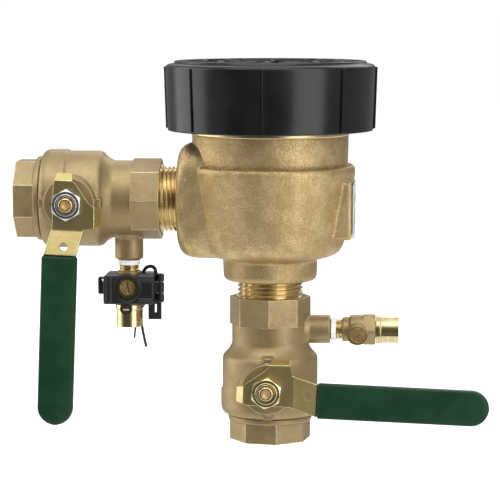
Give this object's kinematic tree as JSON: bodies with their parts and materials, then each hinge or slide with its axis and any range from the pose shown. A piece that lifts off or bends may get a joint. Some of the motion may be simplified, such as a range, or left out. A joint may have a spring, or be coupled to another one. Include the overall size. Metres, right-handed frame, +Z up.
{
  "type": "backflow preventer",
  "caption": "Pressure vacuum breaker with a canopied bronze bowl, lever ball valves at the inlet and outlet, and test cocks.",
  "frame": {"origin": "centre of the inlet face, on the inlet pipe's axis", "axes": "+Z up the inlet pipe, the outlet pipe runs towards -X, both levers are on the -Y side"},
  "size_m": [0.2405, 0.1086, 0.1946],
  "materials": {
    "cast_bronze": "sand-cast bronze, matt and pebbled, golden brown",
    "satin_bronze": "bead-blasted bronze, satin, tan",
    "machined_brass": "bright machined brass",
    "zinc_steel": "steel plate with yellow zinc chromate",
    "steel": "bright plated or stainless steel",
    "black_plastic": "black moulded plastic, glossy",
    "black_nylon": "black moulded nylon, satin",
    "green_vinyl": "dark green dipped vinyl",
    "rubber": "black nitrile rubber",
    "ptfe": "white PTFE",
    "grey_plastic": "grey moulded plastic",
    "label": "white printed plate, left blank"
  },
  "bodies": {
    "assembly": {"body": "cast_bronze", "bonnet": "machined_brass", "bonnet_o_ring": "rubber", "canopy": "black_plastic", "canopy_screw": "steel", "canopy_washer": "steel", "check_seat": "machined_brass", "check_spring": "steel", "float_spring": "steel", "inlet_cock_body": "satin_bronze", "inlet_cock_nozzle": "machined_brass", "inlet_cock_thread_tape": "ptfe", "inlet_nipple": "machined_brass", "inlet_valve_body": "satin_bronze", "inlet_valve_cap_seat": "ptfe", "inlet_valve_end_cap": "satin_bronze", "inlet_valve_gland_nut": "machined_brass", "inlet_valve_neck_seat": "ptfe", "inlet_valve_packing": "ptfe", "label_plate": "label", "lock_clip_back": "black_nylon", "lock_clip_pin": "steel", "lock_tie": "black_nylon", "outlet_cock_body": "satin_bronze", "outlet_cock_nozzle": "machined_brass", "outlet_cock_thread_tape": "ptfe", "outlet_nipple": "machined_brass", "outlet_valve_body": "satin_bronze", "outlet_valve_cap_seat": "ptfe", "outlet_valve_end_cap": "satin_bronze", "outlet_valve_gland_nut": "machined_brass", "outlet_valve_neck_seat": "ptfe", "outlet_valve_packing": "ptfe", "spring_guide": "grey_plastic"},
    "inlet_handle": {"inlet_valve_lever": "zinc_steel", "inlet_valve_grip": "green_vinyl", "inlet_valve_handle_nut": "steel", "inlet_valve_stem": "machined_brass", "inlet_valve_ball": "steel"},
    "outlet_handle": {"outlet_valve_lever": "zinc_steel", "outlet_valve_grip": "green_vinyl", "outlet_valve_handle_nut": "steel", "outlet_valve_stem": "machined_brass", "outlet_valve_ball": "steel"},
    "inlet_cock_key": {"inlet_cock_stem": "machined_brass", "inlet_cock_ball": "steel"},
    "outlet_cock_key": {"outlet_cock_stem": "machined_brass", "outlet_cock_ball": "steel"},
    "check": {"check_poppet": "grey_plastic", "check_disc": "rubber", "disc_retainer": "steel"},
    "air_inlet": {"air_float": "grey_plastic", "float_seal": "rubber"},
    "lock_clip_door": {"lock_clip_front": "black_nylon"}
  },
  "joints": [
    {"name": "inlet_valve_turn", "type": "hinge", "parent": "assembly", "child": "inlet_handle", "pos_m": [0, -0.03, 0.03], "axis": [0, 1, 0], "range_deg": [-2.2, 87.8]},
    {"name": "outlet_valve_turn", "type": "hinge", "parent": "assembly", "child": "outlet_handle", "pos_m": [-0.0997, -0.03, 0.1238], "axis": [0, 1, 0], "range_deg": [-2.2, 87.8]},
    {"name": "inlet_cock_turn", "type": "hinge", "parent": "assembly", "child": "inlet_cock_key", "pos_m": [0.045, 0, 0.057], "axis": [0, -0.9744, -0.225], "range_deg": [0, 90]},
    {"name": "outlet_cock_turn", "type": "hinge", "parent": "assembly", "child": "outlet_cock_key", "pos_m": [-0.0727, 0, 0.0788], "axis": [0, -1, 0], "range_deg": [-13, 77]},
    {"name": "check_lift", "type": "slide", "parent": "assembly", "child": "check", "axis": [0, 0, 1], "range_m": [0, 0.008], "stiffness_N_per_m": 400, "springref_m": -0.0085, "deforming": ["check_spring"]},
    {"name": "air_inlet_lift", "type": "slide", "parent": "assembly", "child": "air_inlet", "axis": [0, 0, 1], "range_m": [0, 0.007], "stiffness_N_per_m": 60, "springref_m": -0.01, "deforming": ["float_spring"]},
    {"name": "lock_clip_hinge", "type": "hinge", "parent": "assembly", "child": "lock_clip_door", "pos_m": [-0.0566, 0, 0.0776], "axis": [0, 0, 1], "range_deg": [0, 110]}
  ]
}
